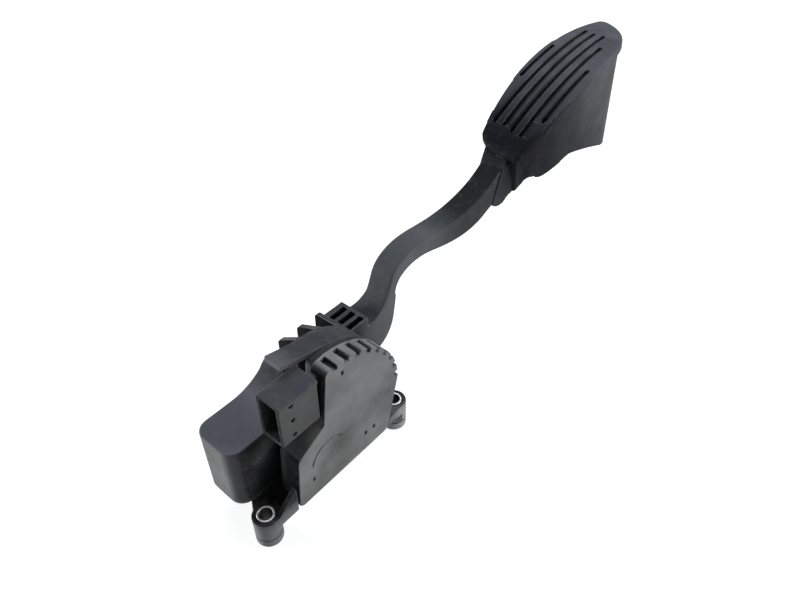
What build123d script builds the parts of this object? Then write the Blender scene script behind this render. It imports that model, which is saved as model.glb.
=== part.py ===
from build123d import *
import math
import os

os.makedirs("parts", exist_ok=True)

# Accelerator pedal module. Millimetres and degrees.
# The origin lies midway between the two near bolts on the mounting face.
# X runs to the pad, Y to the far side and Z away from the mounting face.

# Legs and their steel sleeves
bolt_spacing = 94.0
far_bolt_x = 18.0
far_bolt_y = 48.5
leg_r = 7.0
sleeve_r = 4.5
sleeve_bore_r = 3.5
sleeve_proud = 0.4
leg_groove_z = 5.0
leg_groove_width = 1.0
leg_groove_depth = 0.6

# Floor of the housing
floor_bottom = 12.0
floor_top = 18.6
floor_left = -40.0
floor_right = 44.0
floor_skin = 2.2
floor_rib = 3.0
cell_x_count = 4
cell_y_count = 2

# Pivot
pivot_z = 48.0
axle_r = 5.0
running_gap = 0.05
bearing_wall = 2.0
boss_wall = 3.5
side_gap = 0.4

# Layout across the part
wall_front_y = 2.0
sensor_wall = 4.0
mid_y = 24.0
hub_far_y = 36.0
far_wall = 3.6
near_boss = 2.0
far_boss = 2.0

# Spring tower
tower_left = -52.5
tower_right = -22.0
tower_width = 27.0
tower_top = 57.7
tower_wall = 2.6
tower_corner_r = 7.5
shoulder_start_x = -30.0
shoulder_rise = 11.3
shoulder_edge = 4.0
gate_x = -13.0
gate_top = 53.0

# Sensor cover
cover_face_y = -7.5
cover_r = 42.0
cover_top_left = 7.0
cover_waist = 11.0
cover_waist_rise = 9.0
cover_tail = 29.0
cover_tail_drop = 1.5
cover_foot_left = 32.0
cover_foot_right = 33.0
cover_corner_r = 3.5
cover_plate = 2.2
rim_wall = 4.2
rim_lap = 0.5
ear_gap = 0.3
gusset_rise = 29.0
gusset_wall = 2.6
tooth_count = 9
tooth_pitch = 11.0
tooth_start = 92.0
tooth_gap = 3.4
tooth_depth = 2.6
tooth_back = 1.6
mark_x = -9.5
mark_z = 33.0
mark_r = 11.6
mark_start = 40.0
mark_sweep = 130.0
mark_width = 0.9
mark_depth = 0.4
windows = [(3.0, 82.2), (-20.9, 25.5), (16.3, 25.3), (22.6, 24.6)]
window_width = 1.8
window_height = 2.8
window_depth = 0.9
seal_width = 1.4
seal_depth = 1.2

# Connector socket
socket_mouth_x = -34.0
socket_end_x = -11.2
socket_near_y = -6.0
socket_far_y = 8.6
socket_drop = 14.5
socket_height = 27.0
socket_wall = 1.8
socket_depth = 19.0
socket_hole_r = 1.4
neck_near_y = -2.0
socket_hole_pitch = 9.7
socket_hole_count = 3
socket_hole_run = 7.0
terminal_count = 6
terminal_pitch = 3.4
terminal_width = 1.5
terminal_thick = 0.8
terminal_y = 0.8
terminal_tip = 5.0

# Sensor parts
board_thick = 1.6
board_lift = 0.7
board_left = -3.4
board_right = 10.0
board_drop = 12.0
board_gap = 2.0
post_r = 1.8
chip_size = 5.0
chip_thick = 0.8
chip_pitch = 7.0
magnet_r = 6.5
magnet_thick = 1.4
spigot_r = 3.0
magnet_gap = 0.4

# Axle clip
clip_thick = 1.2
clip_r = 8.0
clip_groove = 0.8
clip_mouth = 5.0
axle_end = 2.0

# Arm
# Each station of the arm holds its lower and its upper point, in X and in Z above the pivot
arm_stations = [
    ((54, -6.7), (45, 16.5)),
    ((64, 0), (57, 20)),
    ((68.6, 14), (62.3, 27)),
    ((72, 31.3), (67.5, 38)),
    ((81, 35.9), (78.5, 44.3)),
    ((107, 32.8), (106, 44.3)),
    ((136, 29.2), (141, 46.8)),
    ((156.5, 35.8), (163.5, 57.5)),
]
travel = 15.0
arm_width = 14.0
arm_web = 3.0
flange = 2.8
hub_r = 11.0
hood_step = 1.0
hood_wall = 2.6
hood_low = 8.0
hood_high = 76.0
visor_length = 30.8
web_wall = 3.0
web_back_x = -4.5
web_clear = 2.0
rib_wall = 2.5
rib_tip_rise = 28.0
rib_first_x = 3.5
rib_pitch = 12.5
rib_count = 3
rib_lap = 0.5
grid_rise = 6.0
grid_wall = 2.0
grid_count = 3
core_rib = 2.4
tongue_width = 10.0
tongue_height = 11.0
tongue_lift = 6.2
tongue_length = 35.5
fit_gap = 0.1

# Lever and spring plunger
lever_width = 10.0
nose_x = -37.0
nose_r = 3.0
heel_x = -11.0
lever_top = 2.0
lever_lap = 1.0
rest_gap = 0.3
guide_gap = 0.3
plunger_plate = 3.0
plunger_skirt = 5.7
plunger_wall = 1.6
plunger_right = -28.0
spring_x = -38.5
outer_coil_r = 7.5
outer_wire_r = 0.8
outer_turns = 3.0
inner_coil_r = 5.0
inner_wire_r = 0.6
inner_turns = 3.5
wire_side_count = 5
spring_gap = 0.1
peg_r = 3.4
peg_length = 4.0

# Rubber stops
idle_r = 5.0
idle_height = 3.5
idle_sink = 1.0
stop_length = 14.0
stop_width = 12.0
stop_top = 23.0
bumper_inset = 1.5

# Pad
pad_low_run = 0.5
pad_low_rise = 11.3
pad_slope = 12.2
pad_length = 144.0
pad_crown = 11.9
pad_skin = 3.0
pad_wall = 2.4
pad_lip = 4.5
pad_lip_step = 1.0
pad_depth = 70.0
# Plan of the pad: its corners, as a share of the length along it and a distance across it,
# and the point that each edge from one corner to the next passes through
pad_corners = [(0.0, -16.5), (0.7, -19.6), (1.0, 12.5), (0.04, 12.5)]
pad_edges = [(0.36, -22.0), (0.87, -11.4), (0.5, 20.2), (-0.01, -4.0)]
pad_corner_r = 4.0
# The same for the foot of the skirt, which is narrow below the sleeve and flares to the tip
foot_corners = [(0.08, -4.5), (0.71, -15.0), (0.85, 11.0), (0.08, 4.5)]
foot_edges = [(0.48, -6.5), (0.835, -4.0), (0.48, 8.0), (0.06, 0.0)]
foot_corner_r = 1.8
skirt_deep_x = 285.0
skirt_deep_z = 74.0
# Tread grooves from the near to the far edge: where each starts and ends, as shares of the length
groove_spans = [(0.17, 0.52), (0.08, 0.7), (0.085, 0.81), (0.1, 0.81), (0.1, 0.82), (0.36, 0.62)]
groove_pitch = 6.6
groove_width = 2.6
groove_depth = 1.9
sleeve_wall = 2.6
funnel_run = 22.0
funnel_top_width = 30.0
funnel_low_width = 16.0
funnel_sink = 0.8
# Lower edge of the pad's sleeve, from the seam's lower point
sleeve_edge = [(0, 0), (9.5, -3.6), (31, 3.5), (53, -4.6), (67, -5.8), (85.5, -1.2)]

# Places that follow from the sizes above
bolt_x = bolt_spacing / 2
bolts = [(-bolt_x, 0), (bolt_x, 0), (far_bolt_x, far_bolt_y)]
hub_near_y = wall_front_y + sensor_wall + side_gap
far_wall_y = hub_far_y + side_gap
floor_far_y = far_wall_y + far_wall
cover_lean = (cover_r - cover_foot_right) / (pivot_z - floor_bottom)
ear_right_x = cover_foot_right + cover_lean * (floor_top - floor_bottom) + ear_gap
bearing_r = axle_r + running_gap + bearing_wall
boss_r = bearing_r + boss_wall
near_boss_y = wall_front_y - near_boss
far_boss_y = floor_far_y + far_boss
arm_near_y = mid_y - arm_width / 2
arm_far_y = mid_y + arm_width / 2
tower_near_y = mid_y - tower_width / 2
tower_floor = floor_top + tower_wall
tower_ceiling = tower_top - tower_wall
nose_z = tower_floor + idle_height + rest_gap + nose_r
plunger_low = nose_z + nose_r + rest_gap
plunger_seat = plunger_low + plunger_plate
shoulder_end_x = web_back_x - web_clear
shoulder_top = tower_top + shoulder_rise
hood_r = cover_r - hood_step
socket_y = (socket_near_y + socket_far_y) / 2
socket_z = pivot_z + cover_r - socket_drop
board_low = pivot_z - board_drop
board_high = pivot_z + cover_r - rim_wall - board_gap
board_back_y = cover_face_y + cover_plate + board_lift
board_front_y = board_back_y + board_thick
magnet_y = near_boss_y - magnet_gap
terminal_zs = [socket_z + (i - (terminal_count - 1) / 2) * terminal_pitch for i in range(terminal_count)]
rib_xs = [rib_first_x + i * rib_pitch for i in range(rib_count)]
chip_zs = [pivot_z - chip_pitch / 2, pivot_z + chip_pitch / 2]
arm_lower = [Vector(x, pivot_z + z) for (x, z), upper in arm_stations]
arm_upper = [Vector(x, pivot_z + z) for lower, (x, z) in arm_stations]
seam_low = arm_lower[-1]
seam_high = arm_upper[-1]
deck_top = arm_upper[0].Y
grid_end_x = arm_upper[0].X + grid_wall
rib_tip_z = pivot_z + rib_tip_rise
tongue_low = seam_low.Y + tongue_lift
tongue_high = tongue_low + tongue_height
tongue_end_x = seam_low.X + tongue_length
stop_contact = Vector(arm_lower[0].X, arm_lower[0].Y - pivot_z).rotate(Axis.Z, -travel)
stop_x = stop_contact.X
bumper_top = pivot_z + stop_contact.Y - rest_gap
pad_low_x = seam_high.X + pad_low_run
pad_low_z = seam_high.Y + pad_low_rise
sleeve_end_x = seam_low.X + sleeve_edge[-1][0]
sleeve_width = tongue_width + 2 * fit_gap + 2 * sleeve_wall
pad_plane = Plane(
    origin=(pad_low_x, mid_y, pad_low_z),
    x_dir=(math.cos(math.radians(pad_slope)), 0, math.sin(math.radians(pad_slope))),
    z_dir=(-math.sin(math.radians(pad_slope)), 0, math.cos(math.radians(pad_slope))),
)
top_plan = (pad_corners, pad_edges, pad_corner_r)
foot_plan = (foot_corners, foot_edges, foot_corner_r)
pad_half = max(abs(v) for u, v in pad_edges) + pad_lip
crown_r = ((pad_length / 2) ** 2 + pad_crown**2) / (2 * pad_crown)
crown_centre = pad_plane.from_local_coords(Vector(pad_length / 2, 0, pad_crown - crown_r))


def at_y(y):
    """The plane of a side view at the depth y, with X to the right and Z up."""
    return Plane.XZ.offset(-y)


# Outline of the sensor cover, in X and Z
with BuildSketch() as cover_outline:
    with BuildLine():
        cover_arc = CenterArc((0, pivot_z), cover_r, 0, 90)
        Polyline(
            cover_arc @ 1,
            (-cover_top_left, pivot_z + cover_r),
            (-cover_waist, pivot_z + cover_waist_rise),
            (-cover_tail, pivot_z - cover_tail_drop),
            (-cover_foot_left, floor_bottom),
            (cover_foot_right, floor_bottom),
            cover_arc @ 0,
        )
    make_face()
    cover_corners = cover_outline.vertices().sort_by(Axis.X)
    fillet(cover_corners[:4] + cover_corners[5:6], radius=cover_corner_r)

# Ring of the gasket under the cover's rim, in X and Z
with BuildSketch() as seal_ring:
    add(cover_outline.sketch)
    offset(amount=-(rim_wall - seal_width) / 2)
    offset(amount=-seal_width, mode=Mode.SUBTRACT)


def arm_face(inset):
    """The side view of the arm, with its two long edges moved in by the inset."""
    lower = [low + (high - low).normalized() * inset for low, high in zip(arm_lower, arm_upper)]
    upper = [high + (low - high).normalized() * inset for low, high in zip(arm_lower, arm_upper)]
    with BuildSketch() as face:
        with BuildLine():
            Spline(*lower)
            Spline(*upper)
            Line(lower[0], upper[0])
            Line(lower[-1], upper[-1])
        make_face()
    return face.sketch


def pad_face(corners, edges, corner_r, inset):
    """A plan of the pad, round at its corners if a radius is given and moved in by the inset."""
    with BuildSketch() as face:
        with BuildLine():
            for number, ((u, v), (edge_u, edge_v)) in enumerate(zip(corners, edges)):
                end_u, end_v = corners[(number + 1) % len(corners)]
                ThreePointArc((u * pad_length, v), (edge_u * pad_length, edge_v), (end_u * pad_length, end_v))
        make_face()
        if corner_r:
            fillet(face.vertices(), radius=corner_r)
        if inset:
            offset(amount=-inset, kind=Kind.INTERSECTION)
    return face.sketch


# Side view of the arm's root between the hub and the first station, in X and Z
with BuildSketch() as root_outline:
    with BuildLine():
        Polyline(
            (0, pivot_z),
            (web_back_x, deck_top),
            arm_upper[0],
            arm_lower[0],
            (0, pivot_z - hub_r),
            close=True,
        )
    make_face()

# Housing
with BuildPart() as housing:
    # Floor with three ears, left open in front for the cover's foot
    with BuildSketch(Plane.XY.offset(floor_bottom)):
        with BuildLine():
            Polyline(
                (-bolt_x, -leg_r),
                (-cover_foot_left - ear_gap, -leg_r),
                (-cover_foot_left - ear_gap, wall_front_y),
                (ear_right_x, wall_front_y),
                (ear_right_x, -leg_r),
                (bolt_x, -leg_r),
                (bolt_x + leg_r, 0),
                (floor_right, 2 * leg_r),
                (floor_right, floor_far_y),
                (far_bolt_x + 2 * leg_r, floor_far_y),
                (far_bolt_x + leg_r, far_bolt_y),
                (far_bolt_x - leg_r, far_bolt_y),
                (far_bolt_x - 2 * leg_r, floor_far_y),
                (floor_left, floor_far_y),
                (floor_left, tower_near_y + tower_wall),
                (tower_left + tower_corner_r, tower_near_y + tower_wall),
                (-bolt_x - leg_r, 0),
                close=True,
            )
        make_face()
        with Locations(*bolts):
            Circle(leg_r)
    extrude(amount=floor_top - floor_bottom)
    with BuildSketch():
        with Locations(*bolts):
            Circle(leg_r)
    extrude(amount=floor_top)
    # Spring tower, shoulder and the gate posts beside the hub
    with BuildSketch(Plane.XY.offset(floor_top)) as tower_plan:
        with Locations(((tower_left + tower_right) / 2, mid_y)):
            Rectangle(tower_right - tower_left, tower_width)
        fillet(tower_plan.vertices().group_by(Axis.X)[0], radius=tower_corner_r)
    extrude(amount=tower_top - floor_top)
    with BuildSketch(at_y(tower_near_y)):
        with BuildLine():
            TangentArc((shoulder_start_x, tower_top), (shoulder_end_x, shoulder_top), tangent=(1, 0))
            Polyline(
                (shoulder_end_x, shoulder_top),
                (shoulder_end_x, shoulder_top - shoulder_edge),
                (gate_x, tower_top),
                (tower_right, tower_ceiling),
                (shoulder_start_x, tower_ceiling),
                (shoulder_start_x, tower_top),
            )
        make_face()
    extrude(amount=-tower_width)
    with BuildSketch(Plane.XY.offset(floor_top)):
        with Locations(((tower_right + gate_x) / 2, mid_y)):
            Rectangle(gate_x - tower_right, tower_width)
            Rectangle(gate_x - tower_right, tower_width - 2 * tower_wall, mode=Mode.SUBTRACT)
    extrude(amount=tower_top - floor_top)
    with BuildSketch(Plane.XY.offset(floor_top)):
        with Locations((gate_x - tower_wall / 2, (wall_front_y + tower_near_y) / 2 + tower_wall)):
            Rectangle(tower_wall, tower_near_y - wall_front_y)
    extrude(amount=gate_top - floor_top)
    # Sensor wall and far wall, each with a bearing boss
    with BuildSketch(at_y(wall_front_y)):
        add(cover_outline.sketch)
        offset(amount=-rim_lap)
    extrude(amount=-sensor_wall)
    with BuildSketch(at_y(far_wall_y)):
        with BuildLine():
            Polyline(
                (tower_right - tower_wall, floor_bottom),
                (floor_right, floor_bottom),
                (floor_right, floor_top + boss_wall),
                (boss_r, pivot_z + boss_r),
                (-boss_r, pivot_z + boss_r),
                (tower_right - tower_wall, pivot_z),
                close=True,
            )
        make_face()
    extrude(amount=-far_wall)
    with BuildSketch(at_y(near_boss_y)):
        with Locations((0, pivot_z)):
            Circle(boss_r)
    extrude(amount=-near_boss)
    with BuildSketch(at_y(floor_far_y)):
        with Locations((0, pivot_z)):
            Circle(boss_r)
    extrude(amount=-far_boss)
    # Gusset from the left leg up the side of the cover
    with BuildSketch(at_y(-leg_r)):
        with BuildLine():
            Polyline(
                (-bolt_x + leg_r / 2, floor_bottom),
                (-bolt_x + leg_r / 2, floor_top),
                (-cover_foot_left - ear_gap, gusset_rise),
                (-cover_foot_left - ear_gap, floor_bottom),
                close=True,
            )
        make_face()
    extrude(amount=-gusset_wall)
    # Block under the full-travel stop
    with BuildSketch(Plane.XY.offset(floor_bottom)):
        with Locations((stop_x, mid_y)):
            Rectangle(stop_length, stop_width)
    extrude(amount=stop_top - floor_bottom)
    # Inside of the tower, with a peg for the springs
    with BuildSketch(Plane.XY.offset(tower_floor)) as tower_core:
        with Locations(((tower_left + tower_wall + tower_right) / 2, mid_y)):
            Rectangle(tower_right - tower_left - tower_wall, tower_width - 2 * tower_wall)
        fillet(tower_core.vertices().group_by(Axis.X)[0], radius=tower_corner_r - tower_wall)
    extrude(amount=tower_ceiling - tower_floor, mode=Mode.SUBTRACT)
    with BuildSketch(Plane.XY.offset(tower_ceiling)):
        with Locations((spring_x, mid_y)):
            Circle(peg_r)
    extrude(amount=-peg_length)
    # Holes, grooves and pockets
    with BuildSketch():
        with Locations(*bolts):
            Circle(sleeve_r)
    extrude(amount=floor_top, mode=Mode.SUBTRACT)
    with BuildSketch(Plane.XY.offset(leg_groove_z)):
        with Locations(*bolts):
            Circle(leg_r + leg_groove_depth)
            Circle(leg_r - leg_groove_depth, mode=Mode.SUBTRACT)
    extrude(amount=leg_groove_width, mode=Mode.SUBTRACT)
    with BuildSketch(at_y(near_boss_y)):
        with Locations((0, pivot_z)):
            Circle(bearing_r)
    extrude(amount=near_boss_y - far_boss_y, mode=Mode.SUBTRACT)
    with BuildSketch(at_y(wall_front_y)):
        add(seal_ring.sketch)
    extrude(amount=-seal_depth, mode=Mode.SUBTRACT)
    with BuildSketch(Plane.XY.offset(tower_floor - idle_sink)):
        with Locations((nose_x, mid_y)):
            Circle(idle_r)
    extrude(amount=idle_sink, mode=Mode.SUBTRACT)
    with BuildSketch(Plane.XY.offset(floor_bottom)):
        cell_x = (floor_right - floor_left) / cell_x_count
        cell_y = (floor_far_y - wall_front_y) / cell_y_count
        with Locations(((floor_left + floor_right) / 2, (wall_front_y + floor_far_y) / 2)):
            with GridLocations(cell_x, cell_y, cell_x_count, cell_y_count):
                Rectangle(cell_x - floor_rib, cell_y - floor_rib)
    extrude(amount=floor_top - floor_bottom - floor_skin, mode=Mode.SUBTRACT)
housing.part.label = "housing"
export_step(housing.part, "parts/housing.step")

# Steel sleeves in the legs
for place, bolt in zip(("left", "right", "far"), bolts):
    with BuildPart() as mount_bush:
        with BuildSketch():
            with Locations(bolt):
                Circle(sleeve_r)
                Circle(sleeve_bore_r, mode=Mode.SUBTRACT)
        extrude(amount=floor_top + sleeve_proud)
    mount_bush.part.label = "mount_bush_" + place
    export_step(mount_bush.part, "parts/mount_bush_" + place + ".step")

# Cover over the sensor, in one with the connector socket
with BuildPart() as sensor_cover:
    with BuildSketch(at_y(cover_face_y)):
        add(cover_outline.sketch)
    extrude(amount=cover_face_y - wall_front_y)
    with BuildSketch(Plane.YZ.offset(socket_mouth_x)):
        with Locations((socket_y, socket_z)):
            RectangleRounded(socket_far_y - socket_near_y, socket_height, socket_wall)
    extrude(amount=socket_end_x - socket_mouth_x)
    with BuildSketch(Plane.YZ.offset(socket_end_x)):
        with Locations(((neck_near_y + wall_front_y) / 2, socket_z)):
            Rectangle(wall_front_y - neck_near_y, socket_height - 4 * socket_wall)
    extrude(amount=-cover_top_left - socket_end_x)
    # Chamber for the circuit board
    with BuildSketch(at_y(cover_face_y + cover_plate)):
        add(cover_outline.sketch)
        offset(amount=-rim_wall)
    extrude(amount=cover_face_y + cover_plate - wall_front_y, mode=Mode.SUBTRACT)
    with BuildSketch(at_y(cover_face_y + cover_plate)):
        with Locations((board_right - 2 * post_r, board_low + 2 * post_r)):
            Circle(post_r)
        with Locations((board_right - 2 * post_r, board_high - 4 * post_r)):
            Circle(post_r)
        with Locations((board_left + 2 * post_r, board_low + 2 * post_r)):
            Circle(post_r)
    extrude(amount=-board_lift)
    # Teeth around the rim
    with BuildSketch(at_y(cover_face_y)):
        with Locations((0, pivot_z)):
            with PolarLocations(cover_r, tooth_count, tooth_start, -tooth_pitch * tooth_count):
                Rectangle(2 * tooth_depth, tooth_gap)
    extrude(amount=cover_face_y + tooth_back - wall_front_y, mode=Mode.SUBTRACT)
    # Shallow round mark on the face
    with BuildSketch(at_y(cover_face_y)):
        with BuildLine():
            CenterArc((mark_x, mark_z), mark_r, mark_start, mark_sweep)
        trace(line_width=mark_width)
    extrude(amount=-mark_depth, mode=Mode.SUBTRACT)
    # Small windows left by the mould's cores
    with BuildSketch(at_y(cover_face_y)):
        with Locations(*windows):
            Rectangle(window_width, window_height)
    extrude(amount=-window_depth, mode=Mode.SUBTRACT)
    # Mouth of the socket, side holes and slots for the terminals
    with BuildSketch(Plane.YZ.offset(socket_mouth_x)):
        with Locations((socket_y, socket_z)):
            Rectangle(socket_far_y - socket_near_y - 2 * socket_wall, socket_height - 2 * socket_wall)
    extrude(amount=socket_depth, mode=Mode.SUBTRACT)
    with BuildSketch(at_y(socket_near_y)):
        with Locations((socket_mouth_x + socket_hole_run, socket_z)):
            with GridLocations(0, socket_hole_pitch, 1, socket_hole_count):
                Circle(socket_hole_r)
    extrude(amount=-2 * socket_wall, mode=Mode.SUBTRACT)
    with BuildSketch(Plane.YZ.offset(socket_mouth_x + socket_depth)):
        with Locations(*[(terminal_y, z) for z in terminal_zs]):
            Rectangle(terminal_thick, terminal_width)
    extrude(amount=board_left - socket_mouth_x - socket_depth, mode=Mode.SUBTRACT)
sensor_cover.part.label = "sensor_cover"
export_step(sensor_cover.part, "parts/sensor_cover.step")

# Gasket
with BuildPart() as cover_seal:
    with BuildSketch(at_y(wall_front_y)):
        add(seal_ring.sketch)
    extrude(amount=-seal_depth)
cover_seal.part.label = "cover_seal"
export_step(cover_seal.part, "parts/cover_seal.step")

# Circuit board with its two sensor chips
with BuildPart() as circuit_board:
    with BuildSketch(at_y(board_back_y)):
        with Locations(((board_left + board_right) / 2, (board_low + board_high) / 2)):
            Rectangle(board_right - board_left, board_high - board_low)
    extrude(amount=-board_thick)
circuit_board.part.label = "circuit_board"
export_step(circuit_board.part, "parts/circuit_board.step")

for number, chip_z in enumerate(chip_zs, start=1):
    with BuildPart() as sensor_chip:
        with BuildSketch(at_y(board_front_y)):
            with Locations((0, chip_z)):
                Rectangle(chip_size, chip_size)
        extrude(amount=-chip_thick)
    sensor_chip.part.label = "sensor_chip_" + str(number)
    export_step(sensor_chip.part, "parts/sensor_chip_" + str(number) + ".step")

# Terminals, bent down to the board
for number, terminal_z in enumerate(terminal_zs, start=1):
    with BuildPart() as terminal:
        with BuildSketch(Plane.XY.offset(terminal_z - terminal_width / 2)):
            with BuildLine():
                Polyline(
                    (socket_mouth_x + terminal_tip, terminal_y - terminal_thick / 2),
                    (board_left, terminal_y - terminal_thick / 2),
                    (board_left, board_front_y),
                    (board_left + terminal_thick, board_front_y),
                    (board_left + terminal_thick, terminal_y + terminal_thick / 2),
                    (socket_mouth_x + terminal_tip, terminal_y + terminal_thick / 2),
                    close=True,
                )
            make_face()
        extrude(amount=terminal_width)
    terminal.part.label = "terminal_" + str(number)
    export_step(terminal.part, "parts/terminal_" + str(number) + ".step")

# Axle, its bearings, its clip and the magnet on its near end
with BuildPart() as axle:
    with BuildSketch(at_y(near_boss_y)):
        with Locations((0, pivot_z)):
            Circle(axle_r)
    extrude(amount=near_boss_y - far_boss_y - side_gap - clip_thick - axle_end)
    with BuildSketch(at_y(magnet_y - magnet_thick)):
        with Locations((0, pivot_z)):
            Circle(spigot_r)
    extrude(amount=-magnet_thick - magnet_gap)
    with BuildSketch(at_y(far_boss_y + side_gap)):
        with Locations((0, pivot_z)):
            Circle(axle_r)
            Circle(axle_r - clip_groove, mode=Mode.SUBTRACT)
    extrude(amount=-clip_thick, mode=Mode.SUBTRACT)
axle.part.label = "axle"
export_step(axle.part, "parts/axle.step")

for place, bush_y, bush_end_y in (
    ("near", near_boss_y, wall_front_y + sensor_wall),
    ("far", far_wall_y, far_boss_y),
):
    with BuildPart() as bearing_bush:
        with BuildSketch(at_y(bush_y)):
            with Locations((0, pivot_z)):
                Circle(bearing_r)
                Circle(axle_r + running_gap, mode=Mode.SUBTRACT)
        extrude(amount=bush_y - bush_end_y)
    bearing_bush.part.label = "bearing_bush_" + place
    export_step(bearing_bush.part, "parts/bearing_bush_" + place + ".step")

with BuildPart() as axle_clip:
    with BuildSketch(at_y(far_boss_y + side_gap)):
        with Locations((0, pivot_z)):
            Circle(clip_r)
            Circle(axle_r - clip_groove, mode=Mode.SUBTRACT)
        with Locations((0, pivot_z - clip_r)):
            Rectangle(clip_mouth, 2 * clip_r, mode=Mode.SUBTRACT)
    extrude(amount=-clip_thick)
axle_clip.part.label = "axle_clip"
export_step(axle_clip.part, "parts/axle_clip.step")

with BuildPart() as sensor_magnet:
    with BuildSketch(at_y(magnet_y - magnet_thick)):
        with Locations((0, pivot_z)):
            Circle(magnet_r)
            Circle(spigot_r, mode=Mode.SUBTRACT)
    extrude(amount=-magnet_thick)
sensor_magnet.part.label = "sensor_magnet"
export_step(sensor_magnet.part, "parts/sensor_magnet.step")

# Pedal arm: hub, hood, ribs, arm, lever and the tongue that carries the pad
with BuildPart() as pedal_arm:
    with BuildSketch(at_y(hub_near_y)):
        with Locations((0, pivot_z)):
            Circle(hub_r)
    extrude(amount=hub_near_y - hub_far_y)
    with BuildSketch(at_y(arm_near_y)):
        add(root_outline.sketch)
        add(arm_face(0))
    extrude(amount=arm_near_y - hub_far_y)
    # The far side narrows from the root to the arm
    with BuildSketch():
        with BuildLine():
            Polyline(
                (grid_end_x, hub_far_y),
                (grid_end_x + arm_width, arm_far_y),
                (tongue_end_x, arm_far_y),
                (tongue_end_x, hub_far_y),
                close=True,
            )
        make_face()
    extrude(amount=tongue_high + tongue_height, mode=Mode.SUBTRACT)
    # Pockets between cross ribs, open to the far side
    with BuildSketch(at_y(arm_near_y + arm_web)):
        add(arm_face(flange))
        with BuildLine():
            for low, high in zip(arm_lower, arm_upper):
                Line(low, high)
        trace(line_width=core_rib, mode=Mode.SUBTRACT)
    extrude(amount=arm_near_y + arm_web - hub_far_y, mode=Mode.SUBTRACT)
    with BuildSketch(at_y(arm_near_y + arm_web)):
        with BuildLine():
            Polyline(
                (hub_r, deck_top - flange),
                arm_upper[0] - Vector(flange, flange),
                arm_lower[0] + Vector(-2 * flange, flange),
                (hub_r, pivot_z - hub_r + 2 * flange),
                close=True,
            )
        make_face()
        with Locations((0, pivot_z)):
            Circle(hub_r + flange, mode=Mode.SUBTRACT)
    extrude(amount=arm_near_y + arm_web - hub_far_y, mode=Mode.SUBTRACT)
    # Hood with its visor, and the web that carries it
    with BuildSketch(at_y(hub_near_y)):
        with BuildLine():
            hood_arc = CenterArc((0, pivot_z), hood_r - hood_wall / 2, hood_low, hood_high - hood_low)
            Line(hood_arc @ 1, hood_arc @ 1 + (hood_arc % 1) * visor_length)
        trace(line_width=hood_wall)
    extrude(amount=hub_near_y - arm_near_y)
    with BuildSketch(at_y(arm_near_y - web_wall)):
        with Locations((0, pivot_z)):
            Circle(hood_r - hood_wall / 2)
        with BuildLine():
            Polyline(
                (web_back_x, pivot_z - hub_r / 2),
                (hood_r, pivot_z - hub_r / 2),
                (hood_r, pivot_z + hood_r),
                (web_back_x, pivot_z + hood_r),
                close=True,
            )
        make_face(mode=Mode.INTERSECT)
    extrude(amount=-2 * web_wall)
    # Ribs across the root
    for rib_x in rib_xs:
        rib_top = pivot_z + math.sqrt(hood_r**2 - rib_x**2) - rib_lap
        with BuildSketch(Plane.YZ.offset(rib_x - rib_wall / 2)):
            with BuildLine():
                Polyline(
                    (arm_near_y - web_wall, deck_top - flange),
                    (hub_far_y, deck_top - flange),
                    (hub_far_y, rib_tip_z),
                    (arm_near_y, rib_top),
                    (arm_near_y - web_wall, rib_top),
                    close=True,
                )
            make_face()
        extrude(amount=rib_wall)
    # Grid of pockets between the last rib and the arm
    with BuildSketch(Plane.XY.offset(deck_top - flange)):
        with Locations(((rib_xs[-1] + grid_end_x) / 2, (arm_near_y + hub_far_y) / 2)):
            Rectangle(grid_end_x - rib_xs[-1], hub_far_y - arm_near_y)
        grid_cell = (hub_far_y - arm_near_y - grid_wall) / grid_count
        with Locations(((rib_xs[-1] + grid_end_x - grid_wall) / 2, (arm_near_y + hub_far_y - grid_wall) / 2)):
            with GridLocations(0, grid_cell, 1, grid_count):
                Rectangle(grid_end_x - rib_xs[-1] - grid_wall, grid_cell - grid_wall, mode=Mode.SUBTRACT)
    extrude(amount=grid_rise + flange)
    # Lever into the spring tower
    with BuildSketch(at_y(mid_y - lever_width / 2)):
        with BuildLine():
            Polyline(
                (-hub_r + lever_lap, pivot_z),
                (heel_x, nose_z + lever_top),
                (nose_x, nose_z + lever_top),
                (nose_x, nose_z - nose_r),
                (heel_x / 2, nose_z - nose_r),
                (hub_r / 2, pivot_z - hub_r + 2 * lever_lap),
                close=True,
            )
        make_face()
        with Locations((nose_x, nose_z)):
            Circle(nose_r)
    extrude(amount=-lever_width)
    # Tongue
    with BuildSketch(at_y(mid_y - tongue_width / 2)):
        with BuildLine():
            Polyline(
                (seam_low.X - arm_width, tongue_low),
                (tongue_end_x, tongue_low),
                (tongue_end_x, tongue_high),
                (seam_high.X - flange, tongue_high),
                (seam_low.X - arm_width, tongue_low + flange),
                close=True,
            )
        make_face()
    extrude(amount=-tongue_width)
    with BuildSketch(at_y(hub_near_y)):
        with Locations((0, pivot_z)):
            Circle(axle_r)
    extrude(amount=hub_near_y - hub_far_y, mode=Mode.SUBTRACT)
pedal_arm.part.label = "pedal_arm"
export_step(pedal_arm.part, "parts/pedal_arm.step")

# Hollow of the pad, inside its walls and under its skin
with BuildPart() as pad_hollow:
    with BuildSketch(pad_plane.offset(-pad_depth)):
        add(pad_face(foot_corners, foot_edges, 0, pad_wall))
    with BuildSketch(pad_plane.offset(pad_crown + pad_skin)):
        add(pad_face(pad_corners, pad_edges, 0, pad_lip_step + pad_wall))
    loft(ruled=True)
    with BuildSketch(at_y(mid_y - pad_half)):
        with Locations((crown_centre.X, crown_centre.Z)):
            Circle(crown_r - pad_skin)
    extrude(amount=-2 * pad_half, mode=Mode.INTERSECT)

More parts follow.
